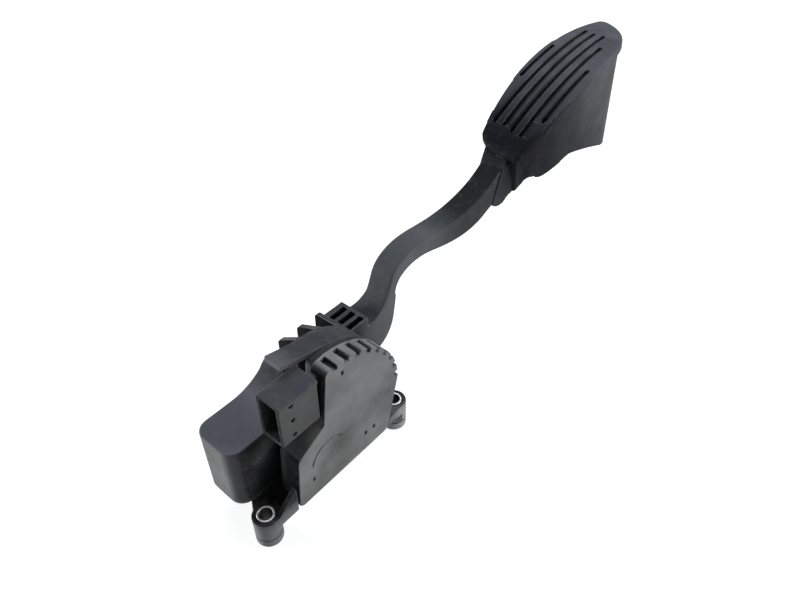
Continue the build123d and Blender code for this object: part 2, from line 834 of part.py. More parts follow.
# Hollow of the sleeve beyond the tongue, open below
with BuildPart() as sleeve_core:
    with BuildSketch(at_y(mid_y - sleeve_width / 2 + sleeve_wall)):
        with Locations(((tongue_end_x + sleeve_end_x) / 2, pad_low_z)):
            Rectangle(sleeve_end_x - tongue_end_x - 2 * sleeve_wall, 2 * pad_depth)
    extrude(amount=2 * sleeve_wall - sleeve_width)
    with BuildSketch(at_y(mid_y - pad_half)):
        with Locations((crown_centre.X, crown_centre.Z)):
            Circle(crown_r - pad_skin)
    extrude(amount=-2 * pad_half, mode=Mode.INTERSECT)

# Grooves of the pad's tread, as deep all along its crown
with BuildPart() as tread:
    with BuildSketch(pad_plane):
        for number, (start, end) in enumerate(groove_spans):
            groove_v = (number - (len(groove_spans) - 1) / 2) * groove_pitch
            with Locations(((start + end) / 2 * pad_length, groove_v)):
                SlotOverall((end - start) * pad_length, groove_width)
    extrude(amount=2 * pad_crown)
    with BuildSketch(at_y(mid_y - pad_half)):
        with Locations((crown_centre.X, crown_centre.Z)):
            Circle(crown_r - groove_depth)
    extrude(amount=-2 * pad_half, mode=Mode.SUBTRACT)

# Lip of the pad, as thick all along its crown
with BuildPart() as pad_rim:
    with BuildSketch(pad_plane.offset(-pad_lip)):
        add(pad_face(*top_plan, 0))
    extrude(amount=2 * pad_crown + pad_lip)
    with BuildSketch(at_y(mid_y - pad_half)):
        with Locations((crown_centre.X, crown_centre.Z)):
            Circle(crown_r - pad_lip)
    extrude(amount=-2 * pad_half, mode=Mode.SUBTRACT)

# Pad with its skirt and the sleeve over the tongue
with BuildPart() as pedal_pad:
    with BuildSketch(pad_plane.offset(-pad_depth - pad_wall)):
        add(pad_face(*foot_plan, 0))
    with BuildSketch(pad_plane.offset(pad_crown + pad_skin)):
        add(pad_face(*top_plan, pad_lip_step))
    loft(ruled=True)
    add(pad_rim.part)
    add(pad_hollow.part, mode=Mode.SUBTRACT)
    with BuildSketch(at_y(mid_y - sleeve_width / 2)):
        with BuildLine():
            Spline(*[seam_low + Vector(x, z) for x, z in sleeve_edge])
            Polyline(
                seam_low + Vector(*sleeve_edge[-1]),
                (sleeve_end_x, pad_low_z + pad_depth),
                (pad_low_x + pad_lip, pad_low_z + pad_depth),
                (pad_low_x + pad_lip, pad_low_z),
                seam_high,
                seam_low,
            )
        make_face()
    extrude(amount=-sleeve_width)
    # Funnel that leads from the sleeve's width to the skirt's
    with BuildSketch(Plane.YZ.offset(seam_high.X)):
        with Locations((mid_y, (seam_low.Y + seam_high.Y) / 2)):
            Rectangle(sleeve_width - 2 * funnel_sink, seam_high.Y - seam_low.Y)
    with BuildSketch(Plane.YZ.offset(seam_high.X + funnel_run)):
        with BuildLine():
            Polyline(
                (mid_y - funnel_low_width / 2, seam_low.Y),
                (mid_y + funnel_low_width / 2, seam_low.Y),
                (mid_y + funnel_top_width / 2, pad_low_z),
                (mid_y - funnel_top_width / 2, pad_low_z),
                close=True,
            )
        make_face()
    loft(ruled=True)
    # Crown above, and the lower edge along the sleeve and the flared skirt
    with BuildSketch(at_y(mid_y - pad_half)):
        with Locations((crown_centre.X, crown_centre.Z)):
            Circle(crown_r)
    extrude(amount=-2 * pad_half, mode=Mode.INTERSECT)
    with BuildSketch(at_y(mid_y - pad_half)):
        with BuildLine():
            Spline(*[seam_low + Vector(x, z) for x, z in sleeve_edge])
            Polyline(
                seam_low + Vector(*sleeve_edge[-1]),
                (skirt_deep_x, skirt_deep_z),
                (skirt_deep_x + pad_depth, skirt_deep_z),
                (skirt_deep_x + pad_depth, 0),
                (seam_low.X, 0),
                seam_low,
            )
        make_face()
    extrude(amount=-2 * pad_half, mode=Mode.SUBTRACT)
    # Socket for the tongue
    with BuildSketch(at_y(mid_y - tongue_width / 2 - fit_gap)):
        with BuildLine():
            Polyline(
                (seam_low.X - arm_width, tongue_low - fit_gap),
                (tongue_end_x + fit_gap, tongue_low - fit_gap),
                (tongue_end_x + fit_gap, tongue_high + fit_gap),
                (seam_low.X - arm_width, tongue_high + fit_gap),
                close=True,
            )
        make_face()
    extrude(amount=-tongue_width - 2 * fit_gap, mode=Mode.SUBTRACT)
    add(sleeve_core.part, mode=Mode.SUBTRACT)
    add(tread.part, mode=Mode.SUBTRACT)
pedal_pad.part.label = "pedal_pad"
export_step(pedal_pad.part, "parts/pedal_pad.step")

# Spring plunger
with BuildPart() as spring_plunger:
    with BuildSketch(Plane.XY.offset(plunger_low)) as plunger_plan:
        plunger_left = tower_left + tower_wall + guide_gap
        plunger_width = tower_width - 2 * tower_wall - 2 * guide_gap
        with Locations(((plunger_left + plunger_right) / 2, mid_y)):
            Rectangle(plunger_right - plunger_left, plunger_width)
        fillet(plunger_plan.vertices().group_by(Axis.X)[0], radius=tower_corner_r - tower_wall)
    extrude(amount=plunger_plate + plunger_skirt)
    with BuildSketch(Plane.XY.offset(plunger_seat)) as plunger_core:
        with Locations(((plunger_left + plunger_right) / 2 + plunger_wall, mid_y)):
            Rectangle(plunger_right - plunger_left, plunger_width - 2 * plunger_wall)
        fillet(plunger_core.vertices().group_by(Axis.X)[0], radius=tower_corner_r - tower_wall - plunger_wall)
    extrude(amount=plunger_skirt, mode=Mode.SUBTRACT)
    with BuildSketch(Plane.XY.offset(plunger_seat)):
        with Locations((spring_x, mid_y)):
            Circle(peg_r)
    extrude(amount=plunger_skirt)
spring_plunger.part.label = "spring_plunger"
export_step(spring_plunger.part, "parts/spring_plunger.step")

# Return springs
for place, coil_r, wire_r, turns in (
    ("outer", outer_coil_r, outer_wire_r, outer_turns),
    ("inner", inner_coil_r, inner_wire_r, inner_turns),
):
    with BuildPart() as spring:
        coil_height = tower_ceiling - plunger_seat - 2 * spring_gap - 2 * wire_r
        with BuildLine() as coil:
            Helix(
                pitch=coil_height / turns,
                height=coil_height,
                radius=coil_r,
                center=(spring_x, mid_y, plunger_seat + spring_gap + wire_r),
            )
        with BuildSketch(Plane(origin=coil.line @ 0, z_dir=coil.line % 0)):
            RegularPolygon(wire_r, wire_side_count)
        sweep(path=coil.line, is_frenet=True)
    spring.part.label = place + "_spring"
    export_step(spring.part, "parts/" + place + "_spring.step")

# Rubber stops at the two ends of the travel
with BuildPart() as idle_stop:
    with BuildSketch(Plane.XY.offset(tower_floor - idle_sink)):
        with Locations((nose_x, mid_y)):
            Circle(idle_r)
    extrude(amount=idle_height + idle_sink)
idle_stop.part.label = "idle_stop"
export_step(idle_stop.part, "parts/idle_stop.step")

with BuildPart() as full_stop:
    with BuildSketch(Plane.XY.offset(stop_top)):
        with Locations((stop_x, mid_y)):
            Rectangle(stop_length - 2 * bumper_inset, stop_width - 2 * bumper_inset)
    extrude(amount=bumper_top - stop_top)
full_stop.part.label = "full_stop"
export_step(full_stop.part, "parts/full_stop.step")
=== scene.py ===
import math

import bmesh
import bpy
from mathutils import Matrix, Vector
from mathutils.kdtree import KDTree


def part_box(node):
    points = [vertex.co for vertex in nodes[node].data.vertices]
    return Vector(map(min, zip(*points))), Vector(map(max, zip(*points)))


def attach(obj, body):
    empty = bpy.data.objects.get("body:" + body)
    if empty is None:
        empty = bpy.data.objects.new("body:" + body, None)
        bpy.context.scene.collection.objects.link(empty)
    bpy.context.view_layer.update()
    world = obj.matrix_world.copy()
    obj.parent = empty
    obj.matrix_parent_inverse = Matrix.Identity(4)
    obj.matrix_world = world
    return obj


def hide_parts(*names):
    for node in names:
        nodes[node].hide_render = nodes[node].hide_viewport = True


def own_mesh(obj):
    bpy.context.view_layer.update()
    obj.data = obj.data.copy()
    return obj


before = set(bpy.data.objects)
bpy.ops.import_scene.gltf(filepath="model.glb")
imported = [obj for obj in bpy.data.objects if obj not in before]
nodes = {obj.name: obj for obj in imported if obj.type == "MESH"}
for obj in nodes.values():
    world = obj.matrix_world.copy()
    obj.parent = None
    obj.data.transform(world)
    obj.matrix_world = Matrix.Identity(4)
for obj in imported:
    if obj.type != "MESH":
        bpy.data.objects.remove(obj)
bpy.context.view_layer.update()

# Studio: a pale sheet under the module, white far off and see-through from below, a window at the
# near side, one behind the tower and a bluish skylight overhead. The camera stands above the
# mounting end.
world = bpy.data.worlds.new("studio")
world.use_nodes = True
bpy.context.scene.world = world


def seen_rays(tree):
    """1 for rays that show the backdrop itself: straight, mirrored or through glass."""
    path = tree.nodes.new("ShaderNodeLightPath")
    seen = path.outputs["Is Camera Ray"]
    for ray in ("Is Glossy Ray", "Is Transmission Ray"):
        either = tree.nodes.new("ShaderNodeMath")
        either.operation = "MAXIMUM"
        tree.links.new(seen, either.inputs[0])
        tree.links.new(path.outputs[ray], either.inputs[1])
        seen = either.outputs[0]
    return seen


def span(tree, value, low, high, start, end):
    """The value's range from low to high, spread from start to end."""
    remap = tree.nodes.new("ShaderNodeMapRange")
    remap.inputs["From Min"].default_value = low
    remap.inputs["From Max"].default_value = high
    remap.inputs["To Min"].default_value = start
    remap.inputs["To Max"].default_value = end
    tree.links.new(value, remap.inputs["Value"])
    return remap.outputs["Result"]


sky = world.node_tree
sky.nodes.clear()
room = sky.nodes.new("ShaderNodeBackground")
room.inputs["Color"].default_value = (0.86, 0.92, 1.0, 1.0)
room.inputs["Strength"].default_value = 0.16
backdrop = sky.nodes.new("ShaderNodeBackground")
backdrop.inputs["Color"].default_value = (1.0, 1.0, 1.0, 1.0)
backdrop.inputs["Strength"].default_value = 1.0
shown = sky.nodes.new("ShaderNodeMixShader")
sky.links.new(seen_rays(sky), shown.inputs[0])
sky.links.new(room.outputs[0], shown.inputs[1])
sky.links.new(backdrop.outputs[0], shown.inputs[2])
sky_out = sky.nodes.new("ShaderNodeOutputWorld")
sky.links.new(shown.outputs[0], sky_out.inputs["Surface"])

sheet_reach = 3.0
sheet_mesh = bmesh.new()
bmesh.ops.create_grid(sheet_mesh, x_segments=2, y_segments=2, size=sheet_reach)
sheet_data = bpy.data.meshes.new("paper_sheet")
sheet_mesh.to_mesh(sheet_data)
sheet_mesh.free()
paper_sheet = bpy.data.objects.new("paper_sheet", sheet_data)
bpy.context.scene.collection.objects.link(paper_sheet)
paper = bpy.data.materials.new("white_paper")
paper.use_nodes = True
paper_tree = paper.node_tree
paper_tree.nodes.clear()
paper_matt = paper_tree.nodes.new("ShaderNodeBsdfDiffuse")
paper_matt.inputs["Color"].default_value = (0.6, 0.6, 0.6, 1.0)
paper_glow = paper_tree.nodes.new("ShaderNodeEmission")
paper_lift = paper_tree.nodes.new("ShaderNodeMath")
paper_lift.operation = "MULTIPLY"
paper_place = paper_tree.nodes.new("ShaderNodeTexCoord")
paper_reach = paper_tree.nodes.new("ShaderNodeVectorMath")
paper_reach.operation = "LENGTH"
paper_tree.links.new(paper_place.outputs["Object"], paper_reach.inputs[0])
fade_start, fade_end = 0.4, 1.2
glow_near, glow_far = 0.73, 1.0
paper_fade = span(paper_tree, paper_reach.outputs["Value"], fade_start, fade_end, glow_near, glow_far)
paper_tree.links.new(paper_fade, paper_lift.inputs[1])
paper_tree.links.new(seen_rays(paper_tree), paper_lift.inputs[0])
paper_tree.links.new(paper_lift.outputs[0], paper_glow.inputs["Strength"])
paper_sum = paper_tree.nodes.new("ShaderNodeAddShader")
paper_tree.links.new(paper_matt.outputs[0], paper_sum.inputs[0])
paper_tree.links.new(paper_glow.outputs[0], paper_sum.inputs[1])
paper_side = paper_tree.nodes.new("ShaderNodeNewGeometry")
paper_under = paper_tree.nodes.new("ShaderNodeBsdfTransparent")
paper_shown = paper_tree.nodes.new("ShaderNodeMixShader")
paper_tree.links.new(paper_side.outputs["Backfacing"], paper_shown.inputs[0])
paper_tree.links.new(paper_sum.outputs[0], paper_shown.inputs[1])
paper_tree.links.new(paper_under.outputs[0], paper_shown.inputs[2])
paper_out = paper_tree.nodes.new("ShaderNodeOutputMaterial")
paper_tree.links.new(paper_shown.outputs[0], paper_out.inputs["Surface"])
sheet_data.materials.append(paper)

body_middle = Vector((-0.01, 0.02, 0.045))
for name, place, width, power, colour in (
    ("key_window", (0.72, -0.9, 0.66), 0.55, 11.0, (1.0, 0.99, 0.98)),
    ("left_window", (-0.36, 0.5, 0.13), 0.3, 4.2, (1.0, 0.99, 0.98)),
    ("skylight", (0.45, 0.55, 1.25), 0.8, 7.0, (0.72, 0.84, 1.0)),
):
    lamp_data = bpy.data.lights.new(name, "AREA")
    lamp_data.shape = "SQUARE"
    lamp_data.size = width
    lamp_data.energy = power
    lamp_data.color = colour
    lamp = bpy.data.objects.new(name, lamp_data)
    lamp.location = place
    lamp.rotation_euler = (body_middle - Vector(place)).to_track_quat("-Z", "Y").to_euler()
    bpy.context.scene.collection.objects.link(lamp)

camera_data = bpy.data.cameras.new("camera")
camera_data.sensor_width = 36.0
camera_data.lens = 31.5
camera_data.clip_start = 0.01
camera = bpy.data.objects.new("camera", camera_data)
camera_place = (-0.1443, -0.16665, 0.31971)
heading, dip, roll = -49.74, 41.83, 0.14
camera.matrix_world = Matrix.Translation(camera_place) @ (
    Matrix.Rotation(math.radians(heading), 4, "Z")
    @ Matrix.Rotation(math.radians(90 - dip), 4, "X")
    @ Matrix.Rotation(math.radians(roll), 4, "Z")
)
bpy.context.scene.collection.objects.link(camera)
bpy.context.scene.camera = camera
bpy.context.scene.view_settings.view_transform = "Standard"


# Housing: the base moulding in black glass-filled nylon, with its legs, spring tower and walls
# in one shot. Its edges are slightly round from the tool and painted pale, partly as wear from
# handling and partly as painted highlight, and dust has settled in the grain. Its floor, near
# wall and shoulder are painted dark as shade, its right leg and tower top are partly dusty and
# partly painted light, and its faces that look to the mounting end are lighter. It is bolted
# down through the sleeves in its legs.
def cloud(tree, scale, detail):
    """Soft noise fixed to the piece, 0 to 1."""
    place = tree.nodes.new("ShaderNodeTexCoord")
    noise = tree.nodes.new("ShaderNodeTexNoise")
    noise.inputs["Scale"].default_value = scale
    noise.inputs["Detail"].default_value = detail
    tree.links.new(place.outputs["Object"], noise.inputs["Vector"])
    return noise.outputs["Fac"]


def tinted(tree, factor, under, over):
    """One colour laid over another where the factor is high. Each is a colour or a socket."""
    mix = tree.nodes.new("ShaderNodeMix")
    mix.data_type = "RGBA"
    tree.links.new(factor, mix.inputs["Factor"])
    for socket, colour in ((mix.inputs["A"], under), (mix.inputs["B"], over)):
        if isinstance(colour, bpy.types.NodeSocket):
            tree.links.new(colour, socket)
        else:
            socket.default_value = [*colour, 1.0]
    return mix.outputs["Result"]


def product(tree, first, second):
    """Two values multiplied."""
    times = tree.nodes.new("ShaderNodeMath")
    times.operation = "MULTIPLY"
    tree.links.new(first, times.inputs[0])
    tree.links.new(second, times.inputs[1])
    return times.outputs[0]


def new_finish(name):
    """An empty material: itself, its node tree and its shader."""
    finish = bpy.data.materials.new(name)
    finish.use_nodes = True
    return finish, finish.node_tree, finish.node_tree.nodes["Principled BSDF"]


def measured(tree, source, way):
    """How far a place lies, or how much a face looks, along a way."""
    place = tree.nodes.new("ShaderNodeTexCoord")
    along = tree.nodes.new("ShaderNodeVectorMath")
    along.operation = "DOT_PRODUCT"
    along.inputs[1].default_value = way
    tree.links.new(place.outputs[source], along.inputs[0])
    return along.outputs["Value"]


def layer(tree, way, thickness):
    """A film's thickness along a way, from a list of places and how thick it is at each."""
    ramp = tree.nodes.new("ShaderNodeValToRGB")
    stops = ramp.color_ramp.elements
    first, last = thickness[0][0], thickness[-1][0]
    for number, (spot, thick) in enumerate(thickness):
        share = (spot - first) / (last - first)
        stop = stops.new(share) if 0 < number < len(thickness) - 1 else stops[0 if number == 0 else -1]
        stop.color = (thick, thick, thick, 1.0)
    tree.links.new(span(tree, measured(tree, "Object", way), first, last, 0.0, 1.0), ramp.inputs[0])
    return ramp.outputs["Color"]


speck_dust = (0.26, 0.25, 0.235)
# Pale grey laid on edges: partly wear, partly painted highlight.
rubbed_and_highlight_grey = (0.3, 0.3, 0.305)
edge_reach = 0.0009
grain_depth = 0.0003


def moulded_plastic(name, colour, index, grain, relief, mottle, deep, films=()):
    """A black moulding: grained skin, mottled tone and dust, recesses as narrow as deep painted
    black as shade, and edges painted pale, partly as wear and partly as painted highlight.
    Each film is a shade, the way it varies along with its thickness there, and the way that the
    faces it lies on look, if it isn't on all."""
    finish, tree, skin = new_finish(name)
    skin.inputs["IOR"].default_value = index
    patches = span(tree, cloud(tree, 38.0, 6.0), 0.3, 0.7, 0.0, 1.0)
    tone = tinted(tree, patches, [c * (1 - mottle) for c in colour], [c * (1 + mottle) for c in colour])
    uneven = span(tree, cloud(tree, 70.0, 5.0), 0.25, 0.75, 0.7, 1.15)
    for shade, way, thickness, looks in films:
        cover_share = product(tree, layer(tree, way, thickness), uneven)
        if looks:
            facing_it = span(tree, measured(tree, "Normal", looks), 0.25, 0.7, 0.0, 1.0)
            cover_share = product(tree, cover_share, facing_it)
        tone = tinted(tree, cover_share, tone, shade)
    specks = span(tree, cloud(tree, 260.0, 8.0), 0.56, 0.8, 0.0, mottle)
    tone = tinted(tree, specks, tone, speck_dust)
    flat = tree.nodes.new("ShaderNodeNewGeometry")
    # Painted shade: faces with little open room within the deep distance darken towards black.
    recess_shade = tree.nodes.new("ShaderNodeAmbientOcclusion")
    recess_shade.samples = 8
    recess_shade.only_local = True
    recess_shade.inputs["Distance"].default_value = deep
    tree.links.new(flat.outputs["True Normal"], recess_shade.inputs["Normal"])
    unshaded_share = span(tree, recess_shade.outputs["AO"], 0.2, 0.8, 0.0, 1.0)
    tone = tinted(tree, unshaded_share, [c * 0.12 for c in colour], tone)
    # Edges painted pale, partly as wear and partly as painted highlight.
    edge = tree.nodes.new("ShaderNodeBevel")
    edge.samples = 6
    edge.inputs["Radius"].default_value = edge_reach
    facing = tree.nodes.new("ShaderNodeVectorMath")
    facing.operation = "DOT_PRODUCT"
    tree.links.new(edge.outputs["Normal"], facing.inputs[0])
    tree.links.new(flat.outputs["Normal"], facing.inputs[1])
    turned = span(tree, facing.outputs["Value"], 0.98, 0.82, 0.0, 0.75)
    patchy = span(tree, cloud(tree, 300.0, 6.0), 0.38, 0.66, 0.25, 1.0)
    tone = tinted(tree, product(tree, turned, patchy), tone, rubbed_and_highlight_grey)
    tree.links.new(tone, skin.inputs["Base Color"])
    tree.links.new(span(tree, cloud(tree, 120.0, 4.0), 0.3, 0.7, 0.46, 0.62), skin.inputs["Roughness"])
    bump = tree.nodes.new("ShaderNodeBump")
    bump.inputs["Strength"].default_value = relief
    bump.inputs["Distance"].default_value = grain_depth
    tree.links.new(cloud(tree, grain, 3.0), bump.inputs["Height"])
    tree.links.new(edge.outputs["Normal"], bump.inputs["Normal"])
    tree.links.new(bump.outputs["Normal"], skin.inputs["Normal"])
    return finish


weld = 3e-6
crease = math.radians(38)


def opened(data):
    """A mesh, open for editing."""
    shape = bmesh.new()
    shape.from_mesh(data)
    return shape


def closed(shape, data):
    """The edited shape put into a mesh, with its turns past the crease angle sharp."""
    shape.to_mesh(data)
    shape.free()
    data.set_sharp_from_angle(angle=crease)


def rounded(shape, edges, width, segments):
    """Edges of a shape rounded to the width."""
    bmesh.ops.bevel(
        shape, geom=edges, offset=width, offset_type="OFFSET", segments=segments, profile=0.5,
        affect="EDGES", clamp_overlap=False, material=-1,
    )


def softened(node, body, finish, width, spare):
    """A copy of a solid with its free outer edges rounded to the width, shown in its place. An
    edge is free where no other sharp edge is close, and where edges that end at it are longer
    than the width by the spare factor."""
    shape = opened(nodes[node].data)
    bmesh.ops.remove_doubles(shape, verts=shape.verts, dist=weld)
    bmesh.ops.dissolve_limit(shape, angle_limit=math.radians(0.3), verts=shape.verts, edges=shape.edges)
    sharp = [edge for edge in shape.edges if edge.calc_face_angle(0.0) > math.radians(34)]
    points = []
    for edge in sharp:
        steps = math.ceil(edge.calc_length() / (width / 2))
        start, end = (corner.co for corner in edge.verts)
        points += [start.lerp(end, (step + 0.5) / steps) for step in range(steps)]
    nearest = KDTree(len(points))
    for number, point in enumerate(points):
        nearest.insert(point, number)
    nearest.balance()
    free = set()
    for edge in sharp:
        start, end = (corner.co for corner in edge.verts)
        room_left = []
        for loop in edge.link_loops:
            along = (loop.link_loop_next.vert.co - loop.vert.co).normalized()
            inwards = loop.face.normal.cross(along) * 2.2 * width
            probes = [start.lerp(end, share) + inwards for share in (0.1, 0.5, 0.9)]
            room_left += [nearest.find(probe)[2] for probe in probes]
        if edge.is_convex and min(room_left) > 1.4 * width:
            free.add(edge)
    tight = True
    while tight:
        tight = {
            edge for edge in free for corner in edge.verts for other in corner.link_edges
            if other not in free and other.calc_length() < spare * width
        }
        free -= tight
    rounded(shape, [edge for edge in sharp if edge in free], width, 3)
    loose = [face for face in shape.faces if all(edge.is_boundary for edge in face.edges)]
    bmesh.ops.delete(shape, geom=loose, context="FACES")
    bmesh.ops.dissolve_degenerate(shape, dist=2e-6, edges=shape.edges)
    low, high = (Vector(corner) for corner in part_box(node))
    for corner in shape.verts:
        corner.co = [min(max(c, start), end) for c, start, end in zip(corner.co, low, high)]
    bmesh.ops.recalc_face_normals(shape, faces=shape.faces)
    for face in shape.faces:
        face.smooth = True
    data = bpy.data.meshes.new(node + "_moulding")
    closed(shape, data)
    data.materials.append(finish)
    piece = bpy.data.objects.new(node + "_moulding", data)
    bpy.context.scene.collection.objects.link(piece)
    even = piece.modifiers.new("face_weights", "WEIGHTED_NORMAL")
    even.keep_sharp = True
    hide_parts(node)
    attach(piece, body)
    return piece


# Film tones: the greys are dust and, in places, painted light; the black is grime and painted shade; the
# bluish grey is fine dust with a painted skylight tint.
grey_dust_and_painted_light = (0.25, 0.255, 0.27)
road_dust_and_painted_light = (0.28, 0.28, 0.285)
pale_dust_and_painted_light = (0.5, 0.5, 0.505)
grime_and_shade_black = (0.006, 0.006, 0.007)
fine_dust_and_sky_tint = (0.19, 0.185, 0.225)
upwards = (0.0, 0.0, 1.0)
lengthways = (1.0, 0.0, 0.0)
cover_side = (-0.6, -0.8, 0.0)
near_side = (0.0, -1.0, 0.0)
mounting_end = (-1.0, 0.0, 0.0)
leg_dust = (road_dust_and_painted_light, upwards, ((0.0, 0.9), (0.013, 0.65), (0.019, 0.0)), None)
# Painted shade on the upward faces of the floor and leg tops, 13 to 42 mm up.
floor_painted_shade = (grime_and_shade_black, upwards, ((0.013, 0.0), (0.016, 1.0), (0.024, 0.95), (0.042, 0.0)), upwards)
# Painted shade on the faces that look to the near side, 19 to 64 mm up.
near_wall_painted_shade = (grime_and_shade_black, upwards, ((0.019, 0.0), (0.022, 0.9), (0.058, 0.85), (0.064, 0.0)), near_side)
# Faces that look to the mounting end are made lighter near that end.
mounting_end_lightening = (road_dust_and_painted_light, lengthways, ((-0.056, 0.32), (-0.044, 0.32), (-0.036, 0.0)), mounting_end)
# Upward faces of the tower top: fine dust with a painted bluish skylight tint.
tower_top_dust_and_sky_tint = (fine_dust_and_sky_tint, upwards, ((0.042, 0.0), (0.046, 0.4), (0.07, 0.4), (0.08, 0.0)), upwards)
# Painted shadow of the socket on upward faces above 59 mm.
shoulder_painted_shadow = (grime_and_shade_black, upwards, ((0.059, 0.0), (0.062, 0.5), (0.067, 0.8), (0.09, 0.8)), upwards)
# Right leg's upward faces lightened: partly dust, partly painted light.
right_leg_top_dust_and_light = (
    road_dust_and_painted_light, lengthways,
    ((0.03, 0.0), (0.037, 0.6), (0.045, 0.5), (0.052, 0.15), (0.056, 0.15)), upwards,
)
# Right leg's side towards the cover lightened: partly dust, partly painted light.
right_leg_side_dust_and_light = (pale_dust_and_painted_light, lengthways, ((0.03, 0.0), (0.037, 0.6), (0.056, 0.6)), cover_side)
black_nylon = moulded_plastic(
    "black_nylon", (0.12, 0.12, 0.123), index=1.12, grain=2600.0, relief=0.16, mottle=0.2, deep=0.022,
    films=(
        leg_dust, floor_painted_shade, near_wall_painted_shade, mounting_end_lightening, tower_top_dust_and_sky_tint, shoulder_painted_shadow, right_leg_top_dust_and_light,
        right_leg_side_dust_and_light,
    ),
)
softened("housing", "base", black_nylon, width=0.0006, spare=2.0)

# Sensor cover: the toothed cap over the sensor, in a paler grade of the same nylon, moulded in
# one with the connector socket, which has a bead along its upper near edge. The socket takes a
# darker copy of the cover's nylon as painted shade, with a painted bluish skylight tint on its
# top, and the flanks of both that look to the mounting end are painted dark as shade. It is
# welded to the housing over its gasket.
# Painted shade on the faces that look to the mounting end.
shaded_flank = (grime_and_shade_black, lengthways, ((-0.03, 0.9), (0.0, 0.85), (0.015, 0.0)), mounting_end)
# Painted skylight tint, darker and bluish, on the socket's upward faces.
socket_top_sky_tint = ((0.05, 0.047, 0.062), upwards, ((0.06, 0.6), (0.09, 0.6)), upwards)
cover_nylon = moulded_plastic(
    "cover_nylon", (0.21, 0.21, 0.21), index=1.12, grain=2600.0, relief=0.18, mottle=0.4, deep=0.022,
    films=(shaded_flank,),
)
# A darker copy of the cover's nylon for the socket: painted shade.
shaded_socket_nylon = moulded_plastic(
    "shaded_socket_nylon", (0.1, 0.1, 0.1), index=1.12, grain=2600.0, relief=0.16, mottle=0.2, deep=0.022,
    films=(shaded_flank, socket_top_sky_tint),
)
cover = softened("sensor_cover", "base", cover_nylon, width=0.0006, spare=2.0)
cover.data.materials.append(shaded_socket_nylon)
socket_root, socket_floor = -0.0115, 0.06
for face in cover.data.polygons:
    face.material_index = int(face.center.x < socket_root and face.center.z > socket_floor)
socket_end = -0.0112
socket_near = -0.006
corner_far = -0.0042
bead_low = 0.0868
bead_height = 0.0008
shape = opened(cover.data)
near_wall = [
    face for face in shape.faces
    if face.normal.y < -0.99 and face.calc_center_median().x < socket_end
    and abs(face.calc_center_median().y - socket_near) < 1e-4
]
wall_parts = dict.fromkeys(part for face in near_wall for part in (face, *face.edges, *face.verts))
bmesh.ops.bisect_plane(
    shape, geom=list(wall_parts), dist=1e-6, plane_co=(0, 0, bead_low), plane_no=upwards,
)
corner = [
    face for face in shape.faces
    if face.calc_center_median().x < socket_end and face.normal.z - face.normal.y > 0.5
    and face.calc_center_median().y < corner_far and face.calc_center_median().z > bead_low
]
bead = bmesh.ops.extrude_face_region(shape, geom=corner)["geom"]
bead_corners = [part for part in bead if isinstance(part, bmesh.types.BMVert)]
bmesh.ops.translate(shape, vec=(0, -bead_height, 0), verts=bead_corners)
bmesh.ops.delete(shape, geom=corner, context="FACES")
bmesh.ops.recalc_face_normals(shape, faces=shape.faces)
closed(shape, cover.data)

# Pedal arm: hub, ribbed hood and S-shaped lever in one black moulding, fast on the axle. The
# long edges of its flanges and the tips of its ribs are rounded. A grey film on the hood, the flat
# of the lever and its near side is partly dust and partly painted light, and the rib ends that
# look to the mounting end are dark, partly with grime and partly as painted shade.
# Grey film along the lever and hood: partly dust, partly painted light.
lever_dust_and_light = (
    grey_dust_and_painted_light, lengthways, (
        (-0.04, 1.0), (-0.022, 0.6), (-0.008, 0.2), (0.03, 0.16),
        (0.06, 0.26), (0.1, 0.43), (0.115, 0.18), (0.13, 0.0),
    ), None,
)
# Grey film on the near side of the lever: partly dust, partly painted light.
side_dust_and_light = (
    grey_dust_and_painted_light, lengthways, (
        (0.04, 0.0), (0.06, 0.3), (0.08, 0.3), (0.095, 0.0), (0.12, 0.1), (0.16, 0.16), (0.2, 0.1),
    ), near_side,
)
# Rib ends that look to the mounting end darkened: partly grime, partly painted shade.
rib_end_grime_and_shade = (
    grime_and_shade_black, lengthways, ((-0.006, 0.0), (-0.002, 1.0), (0.034, 1.0), (0.04, 0.0)), mounting_end,
)
arm_nylon = moulded_plastic(
    "arm_nylon", (0.024, 0.0255, 0.027), index=1.08, grain=2600.0, relief=0.14, mottle=0.15, deep=0.022,
    films=(lever_dust_and_light, side_dust_and_light, rib_end_grime_and_shade),
)
arm = softened("pedal_arm", "pedal", arm_nylon, width=0.0011, spare=1.3)
rib_end = 0.036
rib_tip = 0.076
tip_round = 0.0024
shape = opened(arm.data)
tip_corners = {
    corner for corner in shape.verts
    if abs(corner.co.y - rib_end) < 1e-4 and abs(corner.co.z - rib_tip) < 1e-4
}
tips = [edge for edge in shape.edges if tip_corners.issuperset(edge.verts)]
rounded(shape, tips, tip_round, 4)
bmesh.ops.recalc_face_normals(shape, faces=shape.faces)
closed(shape, arm.data)

# Pedal pad: a hollow moulding pushed over the arm's tongue. Its crowned tread has six grooves
# and a fine grain, and its lip is rounded where the shoe rolls over it. A grey film that thickens
# towards the toe is partly dust and partly painted light, so the heel end stays darker, and the
# tread's upward faces take a pale bluish tint that is partly dust and partly painted sky sheen.
pad_way = (1.0, 0.0, 0.7)
# Pale bluish tone for the tread's upward faces: partly dust, partly painted sky sheen.
dust_and_sky_sheen_tone = (0.16, 0.15, 0.19)
